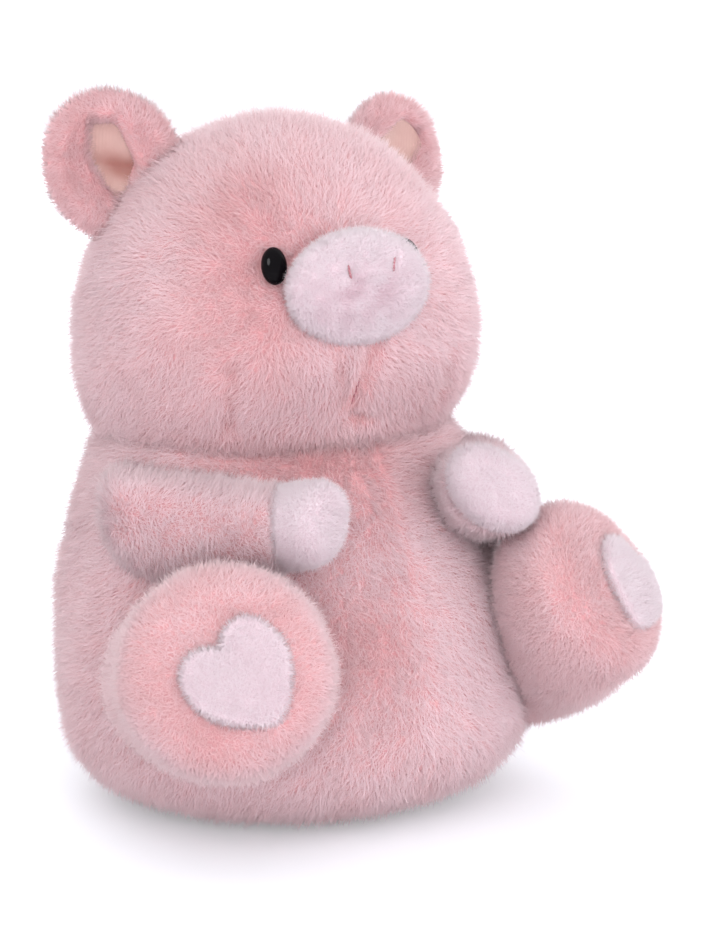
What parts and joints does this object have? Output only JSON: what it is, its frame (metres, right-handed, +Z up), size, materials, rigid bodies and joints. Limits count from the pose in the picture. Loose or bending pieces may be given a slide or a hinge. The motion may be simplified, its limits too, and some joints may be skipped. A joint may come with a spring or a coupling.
{
  "type": "plush pig",
  "caption": "Sitting plush pig with a turning head, swinging arms, lifting legs with heart-shaped sole pads, folding ears and safety eyes.",
  "frame": {"origin": "middle of the flat face that the pig sits on", "axes": "+Z up; the pig faces -Y; +X is its left"},
  "size_m": [0.2465, 0.2579, 0.2971],
  "materials": {
    "pink_fur": "dense short plush pile, matt, tips paler than the roots",
    "pale_fur": "short dense pale pink pile, matt",
    "satin": "smooth satin weave with a soft sheen",
    "filling": "loose white polyester fibre, matt",
    "pellet_cotton": "plain cotton bag, matt",
    "thread": "twisted sewing thread, matt",
    "black_plastic": "polished black, domed",
    "clear_nylon": "moulded, satin"
  },
  "bodies": {
    "torso": {"torso_skin": "pink_fur", "torso_stuffing": "filling", "seat_bean_bag": "pellet_cotton", "tail": "pink_fur"},
    "head": {"head_skin": "pink_fur", "head_stuffing": "filling", "snout_pad": "pale_fur", "snout_filling": "filling", "nostril_stitch_left": "thread", "nostril_stitch_right": "thread", "mouth_stitch": "thread", "eye_left": "black_plastic", "eye_right": "black_plastic", "eye_left_washer": "clear_nylon", "eye_right_washer": "clear_nylon"},
    "ear_left": {"ear_left_skin": "pink_fur", "ear_left_lining": "satin"},
    "arm_left": {"arm_left_skin": "pink_fur", "arm_left_pad": "pale_fur", "arm_left_stuffing": "filling"},
    "leg_left": {"leg_left_skin": "pink_fur", "leg_left_heart": "pale_fur", "leg_left_stuffing": "filling"},
    "ear_right": {"ear_right_skin": "pink_fur", "ear_right_lining": "satin"},
    "arm_right": {"arm_right_skin": "pink_fur", "arm_right_pad": "pale_fur", "arm_right_stuffing": "filling"},
    "leg_right": {"leg_right_skin": "pink_fur", "leg_right_heart": "pale_fur", "leg_right_stuffing": "filling"}
  },
  "joints": [
    {"name": "neck_turn", "type": "hinge", "parent": "torso", "child": "head", "pos_m": [0, 0.016, 0.152], "axis": [0, 0, 1], "range_deg": [-15, 15], "stiffness_Nm_per_rad": 0.2},
    {"name": "arm_left_swing", "type": "hinge", "parent": "torso", "child": "arm_left", "pos_m": [0.06971, -0.01876, 0.123], "axis": [-0.3746, 0, 0.9272], "range_deg": [0, 30], "stiffness_Nm_per_rad": 0.15},
    {"name": "leg_left_lift", "type": "hinge", "parent": "torso", "child": "leg_left", "pos_m": [0.05962, -0.0556, 0.067], "axis": [-0.8572, -0.515, 0], "range_deg": [-20, 0], "stiffness_Nm_per_rad": 0.5},
    {"name": "ear_left_fold", "type": "hinge", "parent": "head", "child": "ear_left", "pos_m": [0.06193, 0.03003, 0.255], "axis": [0.5554, 0.1488, -0.8181], "range_deg": [-12, 12], "stiffness_Nm_per_rad": 0.05},
    {"name": "arm_right_swing", "type": "hinge", "parent": "torso", "child": "arm_right", "pos_m": [-0.06971, -0.01876, 0.123], "axis": [-0.3746, 0, -0.9272], "range_deg": [0, 30], "stiffness_Nm_per_rad": 0.15},
    {"name": "leg_right_lift", "type": "hinge", "parent": "torso", "child": "leg_right", "pos_m": [-0.05962, -0.0556, 0.067], "axis": [-0.8829, 0.4695, 0], "range_deg": [-20, 0], "stiffness_Nm_per_rad": 0.5},
    {"name": "ear_right_fold", "type": "hinge", "parent": "head", "child": "ear_right", "pos_m": [-0.06193, 0.03003, 0.255], "axis": [0.8688, -0.2328, 0.437], "range_deg": [-12, 12], "stiffness_Nm_per_rad": 0.05}
  ]
}
